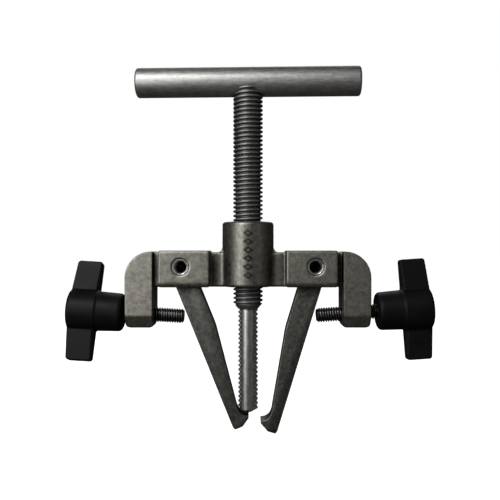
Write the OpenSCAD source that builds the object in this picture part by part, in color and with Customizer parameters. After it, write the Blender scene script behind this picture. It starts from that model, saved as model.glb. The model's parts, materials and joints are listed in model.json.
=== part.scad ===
// Two-jaw gear puller with wing-screw clamps.
// A forcing screw with a T-bar runs down through a cast yoke and pushes on a swivelling pilot.
// Two hooked jaws hang from hollow pivot pins in the yoke's clevises, and a wing screw
// through each leg of the yoke presses its jaw inwards.
// Frame: the origin is the centre of the pilot's flat tip, +Z runs up the screw, -Y is the
// front, and the jaws open along X. All sizes are in millimetres.

/* [Forcing screw] */
// Outside diameter of the forcing screw's thread
screw_d = 12; // [10:0.5:14]
// Height of the forcing screw's lower end above the pilot's tip
screw_z = 41.8; // [36:0.1:46]
// Length of the taper that leads into the thread
screw_taper = 2.3; // [1:0.1:4]
// Diameter of the bore that holds the pilot's spigot
socket_d = 6.06; // [5:0.01:6.5]
// Depth of that bore
socket_depth = 12.4; // [8:0.1:20]

/* [Pilot] */
// Outside diameter of the pilot
pilot_d = 8; // [7.5:0.1:9]
// Diameter of the spigot that swivels in the screw
spigot_d = 6; // [4.5:0.1:6]
// Length of the spigot
spigot_length = 12; // [6:0.1:18]
// Diameter of the flat at the pilot's tip
tip_d = 2.6; // [1:0.1:5]
// Angle of the tip's cone
tip_angle = 120; // [90:1:140]

/* [T-bar] */
// Diameter of the T-bar
bar_d = 12; // [10:0.5:14]
// Length of the T-bar
bar_length = 91; // [60:0.2:140]
// Height of the T-bar's axis
bar_z = 133.8; // [110:0.1:170]
// Angle that the T-bar has turned about the screw
bar_turn = -2.2; // [-90:0.1:90]
// Radius of the T-bar's end edges
bar_edge = 1.1; // [0.5:0.1:3]

/* [Yoke] */
// Outside diameter of the boss
boss_d = 20.8; // [19:0.1:26]
// Height of the boss's top
boss_top = 76.9; // [70:0.1:90]
// Height of the arms' underside
arm_z = 50.8; // [48:0.1:55]
// Height of the clevis blocks' top
block_top = 65.4; // [63:0.1:67]
// Half the depth of a clevis block, front to back
block_y = 9.5; // [8.5:0.1:12]
// Distance from the screw's axis to a block's inner end
block_in = 15.2; // [14:0.1:16.5]
// Distance from the screw's axis to a block's outer end
block_out = 35.3; // [35:0.1:37]
// Half the depth of the webs between the boss and the blocks
web_y = 4; // [3:0.1:6]
// Radius of the fillet between the boss and a web
web_fillet = 2.5; // [1:0.1:3]
// How far the webs and necks lie below the blocks' top
step = 0.7; // [0.2:0.1:2]
// Distance from the screw's axis to a leg's inner face
leg_in = 37.7; // [37.5:0.1:40]
// Thickness of a leg, along X
leg_x = 11.15; // [9:0.05:14]
// Half the depth of a leg, front to back
leg_y = 7.5; // [6.5:0.1:9]
// Height of a leg's lower end
leg_z = 34.3; // [32:0.1:36]
// Half the depth of the necks between the blocks and the legs
neck_y = 5.6; // [4.5:0.1:7]
// Width of the slot that a jaw hangs in
slot_y = 8.4; // [8.2:0.1:9]

/* [Jaws] */
// Distance from the screw's axis to a pivot pin
pivot_x = 26.6; // [26:0.1:27.5]
// Height of the pivot pins
pivot_z = 58.9; // [58:0.1:60]
// Thickness of a jaw, front to back
jaw_y = 8; // [6:0.1:8]
// Angle of the left jaw, inwards from vertical
left_jaw_angle = 22.1; // [18:0.1:22.4]
// Angle of the right jaw, inwards from vertical
right_jaw_angle = 17.1; // [14:0.1:17.2]
// Outside diameter of a pivot pin
pin_d = 6.4; // [5:0.1:6.6]
// Wall thickness of a pivot pin
pin_wall = 0.8; // [0.5:0.05:1.2]
// Length of a pivot pin
pin_length = 18.5; // [16:0.1:19]
// Depth of the bore in a pivot pin's front end
pin_depth = 15.5; // [8:0.5:16.5]

/* [Wing screws] */
// Outside diameter of a clamp stud's thread
stud_d = 6; // [5:0.1:6.5]
// Length of a clamp stud past its knob
stud_reach = 24.5; // [20:0.1:25]
// Length of a clamp stud inside its knob
stud_grip = 12; // [8:0.1:16]
// Height of the left stud's axis at the leg's middle
left_stud_z = 39.8; // [39:0.1:42]
// Height of the right stud's axis at the leg's middle
right_stud_z = 40.1; // [39:0.1:42]
// How far the left knob stands off the leg's middle plane
left_knob_at = 7.1; // [6.6:0.1:8]
// How far the right knob stands off the leg's middle plane
right_knob_at = 8.8; // [8.6:0.1:10]
// Tilt of the left stud, downwards to the screw
left_tilt = 3.3; // [1:0.1:4]
// Tilt of the right stud, downwards to the screw
right_tilt = 3.8; // [1:0.1:5]
// Diameter of a knob's hub
hub_d = 16.9; // [14:0.1:18]
// Length of a knob's hub
hub_length = 22.7; // [20:0.1:30]
// Span of a knob across its wings
wing_span = 40.6; // [34:0.5:50]
// Thickness of a wing at its root
wing_root = 5.6; // [4:0.1:8]
// Thickness of a wing at its tip
wing_tip = 4.2; // [3:0.1:5.6]
// Angle of the left knob about its stud
left_knob_turn = 17; // [0:1:90]
// Angle of the right knob about its stud
right_knob_turn = 3; // [0:1:90]

/* [Hidden] */
// Segments of a full circle
$fn = 64;
// Segments of a rounded corner
corner_steps = 8;
// Extra length that makes a cut pass through a face
over = 1;
// Radial clearance of a shaft that turns or slides in its bore
running = 0.05;
// Radius of the boss's upper edge, and of the fillet where it meets an arm's top
boss_edge = 1.2;
arm_fillet = 1.8;
// Radius of the lower front and back edges of the arms, of the legs, and of small edges
arm_edge = 2;
leg_edge = 5.4;
small_edge = 0.6;
// Ends of a jaw slot, along X
slot_in = 18.8;
slot_out = 33.4;
// Chamfers of a pin's bore, a stud's tip and a knob's bore
bore_chamfer = 0.35;
stud_chamfer = 0.8;
// Radii of a hub's two ends and of a wing's corners
hub_edge = 1.8;
hub_dome = 1.4;
wing_corner = 1.2;
// Height of the band around a hub at its wings, how far its outer end is domed, and the bevel
// along a wing's inner edges
band = 0.4;
dome = 0.8;
wing_bevel = 1.2;
// Spare depth past the end of a stud in its knob
grip_spare = 0.5;

// The unit vector from one point to another.
function toward(from, to) = (to - from) / norm(to - from);

// One corner of an outline, [x, z, radius], as the points of an arc between its two neighbours.
function corner(before, here, after) =
  let (
    a = toward([here.x, here.y], [before.x, before.y]),
    b = toward([here.x, here.y], [after.x, after.y]),
    half = acos(a * b) / 2,
    centre = [here.x, here.y] + (a + b) / norm(a + b) * here.z / sin(half),
    start = [here.x, here.y] + a * here.z / tan(half) - centre,
    end = [here.x, here.y] + b * here.z / tan(half) - centre,
    turn = atan2(start.x * end.y - start.y * end.x, start * end)
  )
  here.z == 0 ? [[here.x, here.y]] : [
    for (i = [0 : corner_steps])
      let (t = turn * i / corner_steps)
      centre + [start.x * cos(t) - start.y * sin(t), start.x * sin(t) + start.y * cos(t)]
  ];

// An outline of [x, z, radius] corners, as a list of points.
function rounded(path) = [
  for (i = [0 : len(path) - 1])
    each corner(path[(i + len(path) - 1) % len(path)], path[i], path[(i + 1) % len(path)])
];

// A plate seen from the front: its outline lies in XZ, and its depth is centred on Y.
module plate(path, depth) {
  rotate([90, 0, 0]) linear_extrude(depth, center = true) polygon(rounded(path));
}

// A bar along X with a section of [y, z, radius] corners.
module beam(path, x0, x1) {
  translate([x0, 0, 0]) rotate([90, 0, 90]) linear_extrude(x1 - x0) polygon(rounded(path));
}

// A section that is symmetrical front to back, with its own radius at the bottom and the top.
function section(y, z0, z1, bottom, top) =
  [[-y, z0, bottom], [y, z0, bottom], [y, z1, top], [-y, z1, top]];

// A cylinder along Y through the pivot.
module across(d, length) {
  translate([pivot_x, 0, pivot_z]) rotate([90, 0, 0]) cylinder(length, d = d, center = true);
}

// Everything on a clamp stud's axis is drawn along +X, outwards from the leg's middle.
module on_stud(tilt, z) {
  translate([leg_in + leg_x / 2, 0, z]) rotate([0, -tilt, 0]) children();
}

// One side of the yoke, at +X: the web, the clevis block, the neck and the leg.
module arm(tilt, z) {
  difference() {
    union() {
      beam(section(web_y, arm_z, block_top - step, 1, small_edge), 0, block_in + over);
      web_fillets();
      intersection() {
        plate([
          [block_in, arm_z, small_edge], [block_out, arm_z, small_edge],
          [block_out, block_top, small_edge], [block_in, block_top, small_edge]
        ], 2 * block_y);
        beam(section(block_y, arm_z, block_top, arm_edge, small_edge), block_in, block_out);
      }
      beam(section(neck_y, arm_z, block_top - step, 1, small_edge), block_out - over, leg_in + over);
      intersection() {
        plate([
          [leg_in, leg_z, arm_edge], [leg_in + leg_x, leg_z, arm_edge],
          [leg_in + leg_x, block_top - step / 2, leg_x - small_edge],
          [leg_in, block_top - step / 2, 0]
        ], 2 * leg_y);
        beam(section(leg_y, leg_z, block_top, leg_edge, small_edge), leg_in, leg_in + leg_x);
      }
    }
    translate([slot_in, -slot_y / 2, arm_z - over])
      cube([slot_out - slot_in, slot_y, block_top - arm_z + 2 * over]);
    across(pin_d, 2 * block_y + over);
    for (side = [0, 180])
      translate([pivot_x, 0, pivot_z]) rotate([90 + side, 0, 0])
        translate([0, 0, block_y - bore_chamfer])
          cylinder(bore_chamfer + over, d1 = pin_d, d2 = pin_d + 2 * (bore_chamfer + over));
    on_stud(tilt, z)
      rotate([0, 90, 0]) cylinder(2 * leg_x, d = stud_d + 2 * running, center = true);
  }
}

// The fillets where a web meets the boss: two upright ones and one on the arm's top.
module web_fillets() {
  away = boss_d / 2 + web_fillet;
  centre = [sqrt(away ^ 2 - (web_y + web_fillet) ^ 2), web_y + web_fillet];
  for (side = [0, 1])
    mirror([0, side, 0]) translate([0, 0, arm_z + small_edge])
      linear_extrude(block_top - step - arm_z - 2 * small_edge) difference() {
        polygon([[0, 0], centre * boss_d / 2 / away, centre, [centre.x, 0]]);
        translate(centre) circle(web_fillet);
      }
  translate([0, web_y - small_edge, block_top - step])
    rotate([90, 0, 0]) linear_extrude(2 * (web_y - small_edge)) difference() {
      square([boss_d / 2 + arm_fillet, arm_fillet]);
      translate([boss_d / 2 + arm_fillet, arm_fillet]) circle(arm_fillet);
    }
}

module yoke() {
  color("dimgray") difference() {
    union() {
      arm(right_tilt, right_stud_z);
      mirror([1, 0, 0]) arm(left_tilt, left_stud_z);
      rotate_extrude() polygon(rounded([
        [0, arm_z, 0], [boss_d / 2, arm_z, 1], [boss_d / 2, boss_top, boss_edge], [0, boss_top, 0]
      ]));
    }
    translate([0, 0, arm_z - over])
      cylinder(boss_top - arm_z + 2 * over, d = screw_d + 2 * running);
  }
}

// A hollow pin, bored from the front and closed at the back.
module pivot_pin() {
  color("silver") difference() {
    across(pin_d, pin_length);
    translate([0, pin_depth - pin_length - over, 0]) across(pin_d - 2 * pin_wall, pin_length);
  }
}

module left_pivot_pin() {
  mirror([1, 0, 0]) pivot_pin();
}

module right_pivot_pin() {
  pivot_pin();
}

// A jaw hanging straight down from its pivot at +X, with its hook towards the screw at -X.
module jaw() {
  head = 5.17;
  difference() {
    union() {
      rotate([90, 0, 0]) cylinder(jaw_y, r = head, center = true);
      plate([
        [-3.6, 0, 0], [head, 0, 0], [head, -67.2, 0], [4.7, -68.5, 0], [1.4, -68.5, 0.8],
        [-2.1, -66.3, 0.8], [-2.5, -65.3, 0.3], [0.6, -64.3, 4], [0.8, -60.5, 0],
        [-3.6, -27, 30]
      ], jaw_y);
    }
    rotate([90, 0, 0]) cylinder(jaw_y + over, d = pin_d + 2 * running, center = true);
  }
}

module left_jaw() {
  color("gray") mirror([1, 0, 0])
    translate([pivot_x, 0, pivot_z]) rotate([0, left_jaw_angle, 0]) jaw();
}

module right_jaw() {
  color("gray")
    translate([pivot_x, 0, pivot_z]) rotate([0, right_jaw_angle, 0]) jaw();
}

// The screw's upper end is coped to sit around the lower half of the T-bar.
module forcing_screw() {
  color("slategray") difference() {
    rotate_extrude() polygon([
      [0, screw_z], [pilot_d / 2, screw_z], [screw_d / 2, screw_z + screw_taper],
      [screw_d / 2, bar_z], [0, bar_z]
    ]);
    translate([0, 0, screw_z - over]) cylinder(socket_depth + over, d = socket_d);
    bar_shape(bar_d, bar_length);
  }
}

module bar_shape(d, length) {
  translate([0, 0, bar_z]) rotate([0, 90, bar_turn]) translate([0, 0, -length / 2])
    rotate_extrude() polygon(rounded([
      [0, 0, 0], [d / 2, 0, bar_edge], [d / 2, length, bar_edge], [0, length, 0]
    ]));
}

module t_bar() {
  color("darkgray") bar_shape(bar_d, bar_length);
}

module pilot() {
  cone = (pilot_d - tip_d) / 2 / tan(tip_angle / 2);
  color("lightgray") rotate_extrude() polygon([
    [0, 0], [tip_d / 2, 0], [pilot_d / 2, cone], [pilot_d / 2, screw_z], [spigot_d / 2, screw_z],
    [spigot_d / 2, screw_z + spigot_length], [0, screw_z + spigot_length]
  ]);
}

// A stud with its knob's inner end at distance at from the leg's middle.
module clamp_stud(at) {
  r = stud_d / 2;
  color("darkslategray") rotate([0, 90, 0]) rotate_extrude() polygon([
    [0, at - stud_reach], [r - stud_chamfer, at - stud_reach],
    [r, at - stud_reach + stud_chamfer], [r, at + stud_grip], [0, at + stud_grip]
  ]);
}

module left_clamp_stud() {
  mirror([1, 0, 0]) on_stud(left_tilt, left_stud_z) clamp_stud(left_knob_at);
}

module right_clamp_stud() {
  on_stud(right_tilt, right_stud_z) clamp_stud(right_knob_at);
}

// A two-winged knob along +X with its inner end at 0 and its wings along Y before it is turned.
module wing_knob() {
  wing_from = 10.5;
  wing_to = 20.7;
  reach = wing_span / 2;
  color([0.1, 0.1, 0.11]) difference() {
    union() {
      rotate([0, 90, 0]) rotate_extrude() polygon(rounded([
        [0, 0, 0], [hub_d / 2 - 0.8, 0, hub_edge], [hub_d / 2 - band, wing_from, 0],
        [hub_d / 2, wing_from, 0], [hub_d / 2, hub_length - dome, hub_dome], [0, hub_length, 0]
      ]));
      intersection() {
        linear_extrude(wing_root, center = true) polygon(rounded([
          [wing_from, -reach, wing_corner], [wing_to, -reach, wing_corner],
          [hub_length - dome / 2, 0, 0], [wing_to, reach, wing_corner],
          [wing_from, reach, wing_corner]
        ]));
        rotate([90, 0, 90]) linear_extrude(hub_length) polygon([
          [-reach, -wing_tip / 2], [-hub_d / 2, -wing_root / 2], [hub_d / 2, -wing_root / 2],
          [reach, -wing_tip / 2], [reach, wing_tip / 2], [hub_d / 2, wing_root / 2],
          [-hub_d / 2, wing_root / 2], [-reach, wing_tip / 2]
        ]);
        rotate([90, 0, 0]) linear_extrude(wing_span, center = true) polygon([
          [wing_from, wing_bevel - wing_root / 2], [wing_from + wing_bevel, -wing_root / 2],
          [hub_length, -wing_root / 2], [hub_length, wing_root / 2],
          [wing_from + wing_bevel, wing_root / 2], [wing_from, wing_root / 2 - wing_bevel]
        ]);
      }
    }
    translate([-over, 0, 0]) rotate([0, 90, 0])
      cylinder(stud_grip + grip_spare + over, d = stud_d + 2 * running);
  }
}

module left_wing_knob() {
  mirror([1, 0, 0]) on_stud(left_tilt, left_stud_z) translate([left_knob_at, 0, 0])
    rotate([90 - left_knob_turn, 0, 0]) wing_knob();
}

module right_wing_knob() {
  on_stud(right_tilt, right_stud_z) translate([right_knob_at, 0, 0])
    rotate([90 - right_knob_turn, 0, 0]) wing_knob();
}

yoke();
left_pivot_pin();
right_pivot_pin();
left_jaw();
right_jaw();
forcing_screw();
t_bar();
pilot();
left_clamp_stud();
right_clamp_stud();
left_wing_knob();
right_wing_knob();
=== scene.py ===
import bmesh
import bpy
import json
import math
import numpy as np
from mathutils import Matrix, Vector, noise


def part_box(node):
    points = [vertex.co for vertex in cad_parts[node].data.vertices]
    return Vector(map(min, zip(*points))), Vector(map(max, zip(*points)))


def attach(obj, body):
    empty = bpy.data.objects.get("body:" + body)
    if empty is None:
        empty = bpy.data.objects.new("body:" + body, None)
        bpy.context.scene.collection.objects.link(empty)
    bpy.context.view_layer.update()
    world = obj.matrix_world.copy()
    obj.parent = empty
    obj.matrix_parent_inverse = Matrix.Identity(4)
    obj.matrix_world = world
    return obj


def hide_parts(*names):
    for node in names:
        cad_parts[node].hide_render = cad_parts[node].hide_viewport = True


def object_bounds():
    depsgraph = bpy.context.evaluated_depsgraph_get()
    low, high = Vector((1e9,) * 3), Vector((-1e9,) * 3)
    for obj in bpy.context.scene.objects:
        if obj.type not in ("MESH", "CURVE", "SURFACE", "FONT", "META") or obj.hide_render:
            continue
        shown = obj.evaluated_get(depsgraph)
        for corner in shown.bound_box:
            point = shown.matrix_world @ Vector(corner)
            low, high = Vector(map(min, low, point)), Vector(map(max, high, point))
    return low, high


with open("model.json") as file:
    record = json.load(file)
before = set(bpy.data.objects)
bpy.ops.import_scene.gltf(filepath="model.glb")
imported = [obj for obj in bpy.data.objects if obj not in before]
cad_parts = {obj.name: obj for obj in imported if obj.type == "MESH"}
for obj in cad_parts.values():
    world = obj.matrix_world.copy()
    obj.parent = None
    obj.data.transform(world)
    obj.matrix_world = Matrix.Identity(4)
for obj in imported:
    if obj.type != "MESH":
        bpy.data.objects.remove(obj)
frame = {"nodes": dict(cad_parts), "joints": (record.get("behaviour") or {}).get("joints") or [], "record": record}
cad_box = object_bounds()

MM = 0.001
RECORD = frame["record"]
JOINTS = {j["name"]: j for j in frame["joints"]}
RATIOS = {c["joint"]: c["ratio"] for c in RECORD["behaviour"]["couplings"]}
SIDES = ("left", "right")


# ---------------------------------------------------------------- sizes

def span(node, axis):
    """A node's lowest and highest value along one axis."""
    low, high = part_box(node)
    return low[axis], high[axis]


def screw_pitch(turn_joint):
    """The thread pitch that a turning joint's coupling states."""
    return 2 * math.pi / abs(RATIOS[turn_joint])


def axis_frame(origin, direction):
    """A matrix whose Z axis lies along direction, with its Y axis as near to the world's Y as it can."""
    z = Vector(direction).normalized()
    x = Vector((0, 1, 0)).cross(z).normalized()
    y = z.cross(x)
    return Matrix.Translation(Vector(origin)) @ Matrix((x, y, z)).transposed().to_4x4()


# From the frame.
PILOT_R = span("pilot", 0)[1]
SCREW_R = span("forcing_screw", 0)[1]
SCREW_LOW, SCREW_TOP = span("forcing_screw", 2)
SCREW_PITCH = screw_pitch("screw_turn")
STUD_PITCH = screw_pitch("left_clamp_turn")
BOSS_R = -span("yoke", 1)[0]
YOKE_LOW, BOSS_TOP = span("yoke", 2)

# The few sizes that the frame's boxes and joints don't give.
PILOT_PITCH = 1.8 * MM
SPIGOT_R = 3 * MM
SOCKET_R = 3.03 * MM
SOCKET_DEPTH = 12.4 * MM
STUD_R = 3 * MM

# A cut metric thread's depth is this share of its pitch. The flats on its crest and at its root
# are shares of the pitch too.
THREAD_DEPTH = 0.5413
CREST_FLAT = 0.28
ROOT_FLAT = 0.2

# A colour ramp reads values from 0 to 1, so a distance in metres is multiplied by this first.
RAMP_SCALE = 10


# ---------------------------------------------------------------- mesh tools

def new_object(name, mesh):
    """A mesh as an object in the scene."""
    piece = bpy.data.objects.new(name, mesh)
    bpy.context.scene.collection.objects.link(piece)
    return piece


def from_bmesh(name, bm):
    """A bmesh as an object in the scene."""
    bmesh.ops.recalc_face_normals(bm, faces=bm.faces)
    mesh = bpy.data.meshes.new(name)
    bm.to_mesh(mesh)
    bm.free()
    return new_object(name, mesh)


def copy_of(node, name):
    """A copy of a CAD node's mesh as one clean, welded object."""
    bm = bmesh.new()
    bm.from_mesh(frame["nodes"][node].data)
    bmesh.ops.remove_doubles(bm, verts=bm.verts, dist=1e-6)
    return from_bmesh(name, bm)


def apply_modifiers(piece):
    """Puts a piece's modifiers into its mesh."""
    graph = bpy.context.evaluated_depsgraph_get()
    graph.update()
    mesh = bpy.data.meshes.new_from_object(piece.evaluated_get(graph))
    piece.modifiers.clear()
    old = piece.data
    piece.data = mesh
    bpy.data.meshes.remove(old)
    return piece


def cut(piece, *cutters):
    """Cuts closed shapes out of a piece."""
    for cutter in cutters:
        change = piece.modifiers.new("cut", "BOOLEAN")
        change.operation = "DIFFERENCE"
        change.solver = "EXACT"
        change.object = cutter
    apply_modifiers(piece)
    for cutter in cutters:
        bpy.data.objects.remove(cutter)
    return piece


def blended(piece, voxel, rounds):
    """Remeshes a piece to even quads and melts its edges into small moulded or cast radii."""
    remesh = piece.modifiers.new("remesh", "REMESH")
    remesh.mode = "VOXEL"
    remesh.voxel_size = voxel
    remesh.use_smooth_shade = True
    smooth = piece.modifiers.new("smooth", "SMOOTH")
    smooth.factor = 0.5
    smooth.iterations = rounds
    return apply_modifiers(piece)


def roughened(piece, height, scale, seed):
    """Pushes a piece's surface in and out by smooth noise of a given height and scale."""
    mesh = piece.data
    shift = Vector((seed, 2 * seed, 3 * seed))
    normals = [v.normal.copy() for v in mesh.vertices]
    for v, n in zip(mesh.vertices, normals):
        v.co += n * height * noise.noise(v.co / scale + shift)
    mesh.update()


def shade_smooth(piece, angle=35):
    """Smooth shading, with edges sharper than an angle in degrees left crisp."""
    mesh = piece.data
    mesh.polygons.foreach_set("use_smooth", [True] * len(mesh.polygons))
    mesh.set_sharp_from_angle(angle=math.radians(angle))
    mesh.update()


def lathe(name, outline, segments=96):
    """Turns an outline of (radius, z) points around Z into a closed solid."""
    bm = bmesh.new()
    rings = []
    for r, z in outline:
        if r < 1e-7:
            rings.append([bm.verts.new((0, 0, z))])
            continue
        turns = (2 * math.pi * i / segments for i in range(segments))
        rings.append([bm.verts.new((r * math.cos(t), r * math.sin(t), z)) for t in turns])
    for low, high in zip(rings, rings[1:]):
        for i in range(segments):
            j = (i + 1) % segments
            face = [low[i % len(low)], low[j % len(low)], high[j % len(high)], high[i % len(high)]]
            face = list(dict.fromkeys(face))
            if len(face) > 2:
                bm.faces.new(face)
    return from_bmesh(name, bm)


# ---------------------------------------------------------------- threads

def tooth(share):
    """A thread's height, 0 at the root and 1 at the crest, at a share of the pitch from the crest."""
    distance = abs((share + 0.5) % 1 - 0.5)
    root_edge = 0.5 - ROOT_FLAT / 2
    straight = (root_edge - distance) / (root_edge - CREST_FLAT / 2)
    straight = min(max(straight, 0), 1)
    eased = straight * straight * (3 - 2 * straight)
    return eased * 0.5 + straight * 0.5


def threaded_rod(name, low, high, pitch, radius_at, rows=14, segments=96):
    """A right-hand threaded rod along Z. radius_at(z, angle, tooth height) gives its surface.

    The surface is one helical strip of rows for each turn, whose last column is sewn to the
    first column of the turn above. What lies past either end is flattened onto that end."""
    turns = int((high - low) / pitch) + 2
    count = rows * turns + 1
    heights = [tooth(k / rows) for k in range(rows)]
    bm = bmesh.new()
    grid = []
    for k in range(count):
        line = []
        for i in range(segments):
            angle = 2 * math.pi * i / segments
            z = low - pitch + pitch * (k / rows + i / segments)
            z = min(max(z, low), high)
            r = radius_at(z, angle, heights[k % rows])
            line.append(bm.verts.new((r * math.cos(angle), r * math.sin(angle), z)))
        grid.append(line)
    for k in range(count - 1):
        for i in range(segments - 1):
            bm.faces.new((grid[k][i], grid[k][i + 1], grid[k + 1][i + 1], grid[k + 1][i]))
        if k + 1 + rows < count:
            seam = (grid[k][-1], grid[k + rows][0], grid[k + rows + 1][0], grid[k + 1][-1])
            bm.faces.new(seam)
    bmesh.ops.remove_doubles(bm, verts=bm.verts, dist=2e-6)
    bmesh.ops.dissolve_degenerate(bm, edges=bm.edges, dist=2e-6)
    bmesh.ops.holes_fill(bm, edges=[e for e in bm.edges if e.is_boundary], sides=0)
    return from_bmesh(name, bm)


def plain_thread(crest, pitch, ends):
    """A radius_at for a full thread, which ends, a list of (z, greatest radius), tapers."""
    depth = THREAD_DEPTH * pitch

    def radius_at(z, angle, height):
        limit = np.interp(z, [e[0] for e in ends], [e[1] for e in ends])
        return min(crest - depth * (1 - height), limit)
    return radius_at


# ---------------------------------------------------------------- materials

class Nodes:
    """A short way to build a material's nodes."""

    def __init__(self, name):
        self.material = bpy.data.materials.new(name)
        self.material.use_nodes = True
        self.tree = self.material.node_tree
        self.shader = self.tree.nodes["Principled BSDF"]
        self.place = self.add("ShaderNodeTexCoord").outputs["Object"]

    def add(self, kind, **values):
        node = self.tree.nodes.new(kind)
        for key, value in values.items():
            setattr(node, key, value)
        return node

    def link(self, source, target):
        self.tree.links.new(source, target)

    def noise(self, scale, detail=4, rough=0.55, stretch=(1, 1, 1)):
        """Noise at a scale in cycles per metre, which may be stretched along the axes."""
        mapping = self.add("ShaderNodeMapping")
        mapping.inputs["Scale"].default_value = stretch
        self.link(self.place, mapping.inputs["Vector"])
        node = self.add("ShaderNodeTexNoise")
        node.inputs["Scale"].default_value = scale
        node.inputs["Detail"].default_value = detail
        node.inputs["Roughness"].default_value = rough
        self.link(mapping.outputs[0], node.inputs["Vector"])
        return node.outputs["Fac"]

    def ramp(self, source, stops):
        """A colour ramp of (position, colour or grey) stops."""
        node = self.add("ShaderNodeValToRGB")
        elements = node.color_ramp.elements
        while len(elements) < len(stops):
            elements.new(0.5)
        for element, (position, tone) in zip(elements, stops):
            element.position = position
            element.color = (*tone, 1) if hasattr(tone, "__len__") else (tone, tone, tone, 1)
        self.link(source, node.inputs["Fac"])
        return node.outputs["Color"]

    def mix(self, kind, factor, first, second):
        """Two colours mixed. The factor and the colours are each a value or a socket."""
        node = self.add("ShaderNodeMix", data_type="RGBA", blend_type=kind)
        sockets = node.inputs[0], node.inputs[6], node.inputs[7]
        for value, socket in zip((factor, first, second), sockets):
            if isinstance(value, bpy.types.NodeSocket):
                self.link(value, socket)
            else:
                socket.default_value = value
        return node.outputs[2]

    def curvature(self):
        """The mesh's own curvature: 0.5 where it is flat, more on edges and less in hollows."""
        return self.add("ShaderNodeNewGeometry").outputs["Pointiness"]

    def distance_from_screw(self):
        """The distance from the screw's axis in metres, times RAMP_SCALE."""
        flat = self.add("ShaderNodeVectorMath", operation="MULTIPLY")
        flat.inputs[1].default_value = (RAMP_SCALE, RAMP_SCALE, 0)
        self.link(self.place, flat.inputs[0])
        length = self.add("ShaderNodeVectorMath", operation="LENGTH")
        self.link(flat.outputs["Vector"], length.inputs[0])
        return length.outputs["Value"]

    def shelter(self, reach):
        """0 deep in a recess and 1 on open surfaces, looking no further than a reach."""
        node = self.add("ShaderNodeAmbientOcclusion", samples=8, only_local=False)
        node.inputs["Distance"].default_value = reach
        return node.outputs["AO"]

    def bump(self, height, distance, strength=1.0, below=None):
        """Bumps of a height in metres over any bumps below."""
        node = self.add("ShaderNodeBump")
        node.inputs["Distance"].default_value = distance
        node.inputs["Strength"].default_value = strength
        self.link(height, node.inputs["Height"])
        if below is not None:
            self.link(below, node.inputs["Normal"])
        return node.outputs["Normal"]

    def finish(self, colour, roughness, normal, metallic, **fixed):
        """Joins colour, roughness and bumps to the shader, and sets its fixed values."""
        self.link(colour, self.shader.inputs["Base Color"])
        self.link(roughness, self.shader.inputs["Roughness"])
        self.link(normal, self.shader.inputs["Normal"])
        self.shader.inputs["Metallic"].default_value = metallic
        for key, value in fixed.items():
            self.shader.inputs[key.replace("_", " ")].default_value = value
        return self.material


def steel(name, dark, light, rough, grain, bump, edge=1.0, stretch=(1, 1, 1), patches=600,
          recess_shade=0.25, reach=4 * MM, shade=(0.4, 0.88), boss_shade_radius=None):
    """A bare steel finish: patchy tone, fine grain, painted shade on its edges and painted shade in its recesses.

    The tone runs from dark to light, and rough is the range of the roughness. patches and grain
    are in cycles per metre and bump is in metres. edge multiplies the tone on convex edges as a
    painted shade, and recess_shade is the painted shade in the recesses, where shelter over a reach
    falls between the two values of shade. boss_shade_radius is a radius around the screw's axis in
    metres, within which the tone is darkened as painted shade."""
    n = Nodes(name)
    broad = n.noise(patches, 5, 0.65)
    fine = n.noise(grain, 6, 0.65, stretch)
    tone = n.mix("MIX", n.ramp(broad, [(0.34, 0.0), (0.66, 1.0)]), (*dark, 1), (*light, 1))
    speck = n.ramp(fine, [(0.32, 0.72), (0.68, 1.18)])
    tone = n.mix("MULTIPLY", 1.0, tone, speck)
    # Painted shade: convex edges are darkened by the edge factor.
    tone = n.mix("MULTIPLY", 1.0, tone, n.ramp(n.curvature(), [(0.516, 1.0), (0.538, edge)]))
    # Painted shade: recesses are darkened towards the recess value, by how sheltered each point is.
    tone = n.mix("MULTIPLY", 1.0, tone, n.ramp(n.shelter(reach), [(shade[0], recess_shade), (shade[1], 1.0)]))
    # Painted shade: the tone is darkened around the screw's axis, dimming the boss.
    if boss_shade_radius:
        rim = RAMP_SCALE * boss_shade_radius
        near = n.ramp(n.distance_from_screw(), [(rim, 0.68), (rim + 0.01, 1.0)])
        tone = n.mix("MULTIPLY", 1.0, tone, near)
    shine = n.ramp(fine, [(0.25, rough[0]), (0.75, rough[1])])
    small = n.bump(fine, bump)
    return n.finish(tone, shine, n.bump(broad, bump * 1.5, 0.5, small), 1.0)


def relief_material():
    """The raised pattern, darker than the casting around it."""
    return steel("relief_steel", dark=(0.07, 0.069, 0.063), light=(0.16, 0.156, 0.14),
                 rough=(0.4, 0.54), grain=1100, bump=0.00006)


def cast_material():
    """The casting: pale and patchy, with painted shade on its edges, on the boss and in its recesses."""
    return steel("cast_steel", dark=(0.31, 0.3, 0.266), light=(0.55, 0.53, 0.46),
                 rough=(0.4, 0.5), grain=2000, bump=0.00006,
                 # Painted shade: darker convex edges, near-black recesses and a darker boss.
                 edge=0.5, recess_shade=0.02, reach=11 * MM, boss_shade_radius=BOSS_R)


def jaw_material():
    """The jaws: darker rolled bar, with painted shade in its recesses."""
    return steel("jaw_steel", dark=(0.17, 0.167, 0.152), light=(0.28, 0.276, 0.252),
                 rough=(0.36, 0.48), grain=1100, bump=0.00005,
                 # Painted shade in the recesses.
                 recess_shade=0.08)


def screw_material():
    """The forcing screw: dull grey, with painted shade in its thread roots."""
    return steel("screw_steel", dark=(0.3, 0.305, 0.295), light=(0.44, 0.445, 0.43),
                 rough=(0.5, 0.62), grain=1500, bump=0.00003,
                 reach=1.5 * MM)


def bar_material():
    """The T-bar: bright drawn bar, with fine lines along it."""
    return steel("bar_steel", dark=(0.47, 0.465, 0.45), light=(0.59, 0.585, 0.57),
                 rough=(0.46, 0.56), grain=1800, bump=0.00003,
                 stretch=(0.12, 1, 1))


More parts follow.
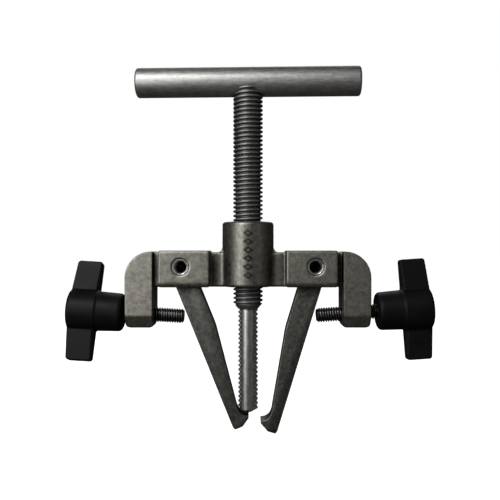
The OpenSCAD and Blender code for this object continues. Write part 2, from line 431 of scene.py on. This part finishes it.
def pilot_material():
    """The pilot: bright ground steel, with fine lines along it."""
    return steel("pilot_steel", dark=(0.58, 0.575, 0.54), light=(0.77, 0.765, 0.73),
                 rough=(0.36, 0.46), grain=1600, bump=0.00001,
                 stretch=(1, 1, 0.15), reach=1 * MM)


def stud_material():
    """The clamp studs: dark, smooth rolled thread."""
    return steel("stud_steel", dark=(0.12, 0.12, 0.115), light=(0.24, 0.235, 0.225),
                 rough=(0.3, 0.42), grain=1500, bump=0.00001,
                 reach=1 * MM)


def pin_material():
    """The pins: bright rims around bores darkened with painted shade."""
    return steel("pin_steel", dark=(0.7, 0.695, 0.68), light=(0.9, 0.895, 0.87),
                 rough=(0.28, 0.4), grain=1500, bump=0.00001,
                 # Painted shade: near black inside the bores.
                 recess_shade=0.01, reach=5 * MM, shade=(0.25, 0.5))


def plastic_material():
    """Black moulded plastic with a fine matt grain."""
    n = Nodes("knob_plastic")
    grain = n.noise(2600, 3, 0.5)
    smudge = n.noise(130, 4, 0.6)
    tone = n.ramp(smudge, [(0.3, (0.004, 0.004, 0.0045)), (0.75, (0.008, 0.008, 0.0085))])
    shine = n.ramp(smudge, [(0.3, 0.46), (0.7, 0.56)])
    return n.finish(tone, shine, n.bump(grain, 0.00001), 0.0, Specular_IOR_Level=0.17)


def floor_material():
    """Plain white paper."""
    n = Nodes("stage_paper")
    tone = n.ramp(n.noise(3, 2), [(0.4, 0.93), (0.6, 0.95)])
    shine = n.ramp(n.noise(40, 2), [(0.4, 0.85), (0.6, 0.95)])
    material = n.finish(tone, shine, n.bump(n.noise(600, 3), 0.00001), 0.0)
    n.shader.inputs["Emission Color"].default_value = (1, 1, 1, 1)
    n.shader.inputs["Emission Strength"].default_value = 1.0
    return material


# ---------------------------------------------------------------- pieces

def place(piece, body, slot, material, *nodes):
    """Gives a finished piece its material and its body, and hides the CAD nodes it stands for. Its slot argument
    is not used.
    """
    piece.data.materials.clear()
    piece.data.materials.append(material)
    shade_smooth(piece)
    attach(piece, body)
    if nodes:
        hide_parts(*nodes)
    return piece


def foot_bevel(facing):
    """A wedge that bevels the lower end of both legs, on the front (-1) or the back (1).

    Its slope starts a little past the legs' face, slope_top above their bottom, and ends a little
    past the bottom, slope_in behind the face."""
    foot_height = 8 * MM
    past_face, past_bottom = 0.4 * MM, 1.5 * MM
    slope_top, slope_in = 5.7 * MM, 4 * MM
    half_length = 100 * MM
    yoke = frame["nodes"]["yoke"].data
    face = max(v.co.y for v in yoke.vertices if v.co.z < YOKE_LOW + foot_height)
    points = [(face + past_face, YOKE_LOW + slope_top),
              (face - slope_in, YOKE_LOW - past_bottom),
              (face + past_face, YOKE_LOW - past_bottom)]
    bm = bmesh.new()
    rings = [[bm.verts.new((x, facing * y, z)) for y, z in points]
             for x in (-half_length, half_length)]
    bm.faces.new(rings[0])
    bm.faces.new(rings[1])
    for i in range(3):
        j = (i + 1) % 3
        bm.faces.new((rings[0][i], rings[0][j], rings[1][j], rings[1][i]))
    return from_bmesh("foot_bevel", bm)


def make_yoke(material):
    """The casting, with bevelled feet, cast radii and a slightly uneven skin."""
    piece = cut(copy_of("yoke", "yoke_casting"), foot_bevel(-1), foot_bevel(1))
    blended(piece, voxel=0.3 * MM, rounds=7)
    roughened(piece, height=0.008 * MM, scale=1.1 * MM, seed=3.7)
    return place(piece, "yoke", "cast_steel", material, "yoke")


def make_relief(material):
    """A plain raised pattern down the boss's front: a column of open lozenges."""
    foot, top = BOSS_R - 0.5 * MM, BOSS_R + 0.4 * MM
    bm = bmesh.new()

    def on_boss(radius, x, z):
        angle = x / BOSS_R
        return bm.verts.new((radius * math.sin(angle), -radius * math.cos(angle), z))

    def ridge(outer, inner):
        """A closed ridge that rises from one path, is flat on top and falls to a matching path."""
        outer_top, inner_top = [[[(1 - share) * a[k] + share * b[k] for k in (0, 1)]
                                 for a, b in zip(outer, inner)] for share in (0.25, 0.75)]
        rows = [(foot, outer), (top, outer_top), (top, inner_top), (foot, inner)]
        rings = [[on_boss(radius, x, z) for x, z in path] for radius, path in rows]
        for k in range(4):
            here, after = rings[k], rings[(k + 1) % 4]
            for i in range(len(here)):
                j = (i + 1) % len(here)
                bm.faces.new((here[i], here[j], after[j], after[i]))

    def lozenge(z, wide, tall):
        return [(wide, z), (0, z + tall), (-wide, z), (0, z - tall)]

    count = 6
    step = 3.3 * MM
    first = BOSS_TOP - 4.6 * MM
    outer_size = 2.1 * MM, 1.5 * MM
    inner_size = 1.1 * MM, 0.7 * MM
    for i in range(count):
        z = first - i * step
        ridge(lozenge(z, *outer_size), lozenge(z, *inner_size))
    return place(from_bmesh("boss_relief", bm), "yoke", "cast_steel", material)


def make_jaw(side, material):
    """A jaw bar with its edges eased, from the flat-faced CAD solid."""
    piece = copy_of(f"{side}_jaw", f"{side}_jaw_bar")
    bm = bmesh.new()
    bm.from_mesh(piece.data)
    bmesh.ops.dissolve_limit(bm, angle_limit=math.radians(0.5), verts=bm.verts, edges=bm.edges)
    sharp = [e for e in bm.edges if len(e.link_faces) == 2 and e.calc_face_angle() > math.radians(60)]
    bmesh.ops.bevel(bm, geom=sharp, offset=0.45 * MM, segments=3, profile=0.6, affect="EDGES",
                    clamp_overlap=True)
    bm.to_mesh(piece.data)
    bm.free()
    return place(piece, f"{side}_jaw", "jaw_steel", material, f"{side}_jaw")


def make_pin(side, material):
    """A hollow pivot pin, as the CAD has it."""
    piece = copy_of(f"{side}_pivot_pin", f"{side}_hollow_pin")
    return place(piece, "yoke", "pin_steel", material, f"{side}_pivot_pin")


def make_screw():
    """The forcing screw: a real helical thread, coped around the T-bar and bored for the pilot.

    Its lower end tapers to the pilot, and its upper end is turned down where the bar sits."""
    lead_in = 2.3 * MM
    thread_end, shoulder = SCREW_TOP - 2.6 * MM, SCREW_TOP - 2.2 * MM
    ends = [(SCREW_LOW, PILOT_R), (SCREW_LOW + lead_in, SCREW_R), (thread_end, SCREW_R),
            (shoulder, 0.9 * SCREW_R), (SCREW_TOP, 0.7 * SCREW_R)]
    piece = threaded_rod("forcing_screw_thread", SCREW_LOW, SCREW_TOP, SCREW_PITCH,
                         plain_thread(SCREW_R, SCREW_PITCH, ends))
    socket = lathe("socket", [(0, SCREW_LOW - MM), (SOCKET_R, SCREW_LOW - MM),
                              (SOCKET_R, SCREW_LOW + SOCKET_DEPTH), (0, SCREW_LOW + SOCKET_DEPTH)])
    cut(piece, copy_of("t_bar", "cope"), socket)
    return place(piece, "screw", "screw_steel", screw_material(), "forcing_screw")


def make_bar():
    """The T-bar, as the CAD has it."""
    piece = copy_of("t_bar", "t_bar_handle")
    return place(piece, "screw", "bar_steel", bar_material(), "t_bar")


def make_pilot():
    """The pilot: a rod with a blunt cone for a tip, and a spigot that the screw's socket holds.

    Its ridges show only on its two sides, because the front and the back are ground smooth."""
    low, high = span("pilot", 2)
    core = 0.86 * PILOT_R
    tip_r = 1.3 * MM
    tip_slope = math.tan(math.radians(60))
    spigot_chamfer = 0.5 * MM
    ridges_start, ridges_fade = 0.83, 0.12

    def radius_at(z, angle, height):
        if z > SCREW_LOW:
            return SPIGOT_R - (spigot_chamfer if z >= high else 0)
        side = min(max((abs(math.cos(angle)) - ridges_start) / ridges_fade, 0), 1)
        r = core + (PILOT_R - core) * height * side
        return min(r, tip_r + (z - low) * tip_slope)

    piece = threaded_rod("pilot_rod", low, high, PILOT_PITCH, radius_at)
    return place(piece, "pilot", "pilot_steel", pilot_material(), "pilot")


def make_stud(side, material):
    """A clamp stud with a real helical thread, along its own tilted axis."""
    joint = JOINTS[f"{side}_clamp_travel"]
    turn = JOINTS[f"{side}_clamp_turn"]
    matrix = axis_frame(turn["pos_m"], joint["axis"])
    mesh = frame["nodes"][f"{side}_clamp_stud"].data
    along = [(matrix.inverted() @ v.co).z for v in mesh.vertices]
    low, high = min(along), max(along)
    chamfer = 0.8 * MM
    inner = STUD_R - chamfer
    ends = [(low, inner), (low + chamfer, STUD_R), (high - chamfer, STUD_R), (high, inner)]
    piece = threaded_rod(f"{side}_stud_thread", low, high, STUD_PITCH,
                         plain_thread(STUD_R, STUD_PITCH, ends), rows=12, segments=72)
    piece.data.transform(matrix)
    return place(piece, f"{side}_stud", "stud_steel", material, f"{side}_clamp_stud")


def make_knob(side, material):
    """A wing knob with the small radii of a moulding."""
    piece = blended(copy_of(f"{side}_wing_knob", f"{side}_knob_moulding"),
                    voxel=0.25 * MM, rounds=4)
    return place(piece, f"{side}_knob", "knob_plastic", material, f"{side}_wing_knob")


# ---------------------------------------------------------------- stage, light and camera

def make_stage():
    """A wide pale floor just under the jaws."""
    low = cad_box[0][2]
    gap = 0.5 * MM
    floor_r = 6
    bm = bmesh.new()
    bmesh.ops.create_circle(bm, cap_ends=True, segments=96, radius=floor_r,
                            matrix=Matrix.Translation((0, 0, low - gap)))
    floor = from_bmesh("stage_floor", bm)
    floor.data.materials.append(floor_material())
    floor.visible_diffuse = False
    floor.visible_glossy = False


def make_world():
    """White behind the tool, and a dim room for the steel to reflect."""
    world = bpy.data.worlds.new("studio")
    bpy.context.scene.world = world
    world.use_nodes = True
    tree = world.node_tree
    seen = tree.nodes["Background"]
    room = tree.nodes.new("ShaderNodeBackground")
    seen.inputs["Color"].default_value = (1, 1, 1, 1)
    seen.inputs["Strength"].default_value = 1.0
    room.inputs["Color"].default_value = (1, 0.99, 0.96, 1)
    room.inputs["Strength"].default_value = 0.03
    path = tree.nodes.new("ShaderNodeLightPath")
    mix = tree.nodes.new("ShaderNodeMixShader")
    tree.links.new(path.outputs["Is Camera Ray"], mix.inputs[0])
    tree.links.new(room.outputs[0], mix.inputs[1])
    tree.links.new(seen.outputs[0], mix.inputs[2])
    tree.links.new(mix.outputs[0], tree.nodes["World Output"].inputs["Surface"])


def softbox(name, azimuth, elevation, distance, width, height, power, aim):
    """A soft area light at an azimuth to the camera's right and an elevation, turned to aim."""
    light = bpy.data.lights.new(name, "AREA")
    light.shape = "RECTANGLE"
    light.size = width
    light.size_y = height
    light.energy = power
    lamp = bpy.data.objects.new(name, light)
    bpy.context.scene.collection.objects.link(lamp)
    a, e = math.radians(azimuth), math.radians(elevation)
    offset = Vector((math.sin(a) * math.cos(e), -math.cos(a) * math.cos(e), math.sin(e)))
    lamp.location = Vector(aim) + distance * offset
    lamp.rotation_euler = offset.to_track_quat("Z", "Y").to_euler()


def make_lights():
    """Soft lights in front and to the left, a faint strip on the right and one light behind."""
    aim = (0, 0, 75 * MM)
    softbox("top_light", -27, 38, 0.6, 0.26, 0.1, 1.5, aim)
    softbox("front_panel", -30, 4, 0.6, 0.1, 0.1, 0.16, aim)
    softbox("left_strip", -38, 10, 0.6, 0.18, 0.45, 1.0, aim)
    softbox("right_strip", 50, 8, 0.6, 0.05, 0.42, 0.1, aim)
    softbox("back_light", 180, 40, 0.7, 0.5, 0.3, 0.8, aim)


def make_camera():
    """A straight-on view from the front."""
    distance = 0.26
    sideways, height = 0.8 * MM, 65.6 * MM
    data = bpy.data.cameras.new("camera")
    data.sensor_width = 36
    data.lens = 46.08
    data.clip_start = 0.01
    camera = bpy.data.objects.new("camera", data)
    bpy.context.scene.collection.objects.link(camera)
    camera.location = (sideways, -distance, height)
    camera.rotation_euler = (math.radians(90), 0, 0)
    bpy.context.scene.camera = camera


def main():
    bpy.context.scene.view_settings.view_transform = "Standard"
    make_camera()
    cast = cast_material()
    make_yoke(cast)
    make_relief(relief_material())
    jaw, pin, stud, knob = jaw_material(), pin_material(), stud_material(), plastic_material()
    for side in SIDES:
        make_jaw(side, jaw)
        make_pin(side, pin)
        make_stud(side, stud)
        make_knob(side, knob)
    make_screw()
    make_bar()
    make_pilot()
    make_stage()
    make_world()
    make_lights()


main()
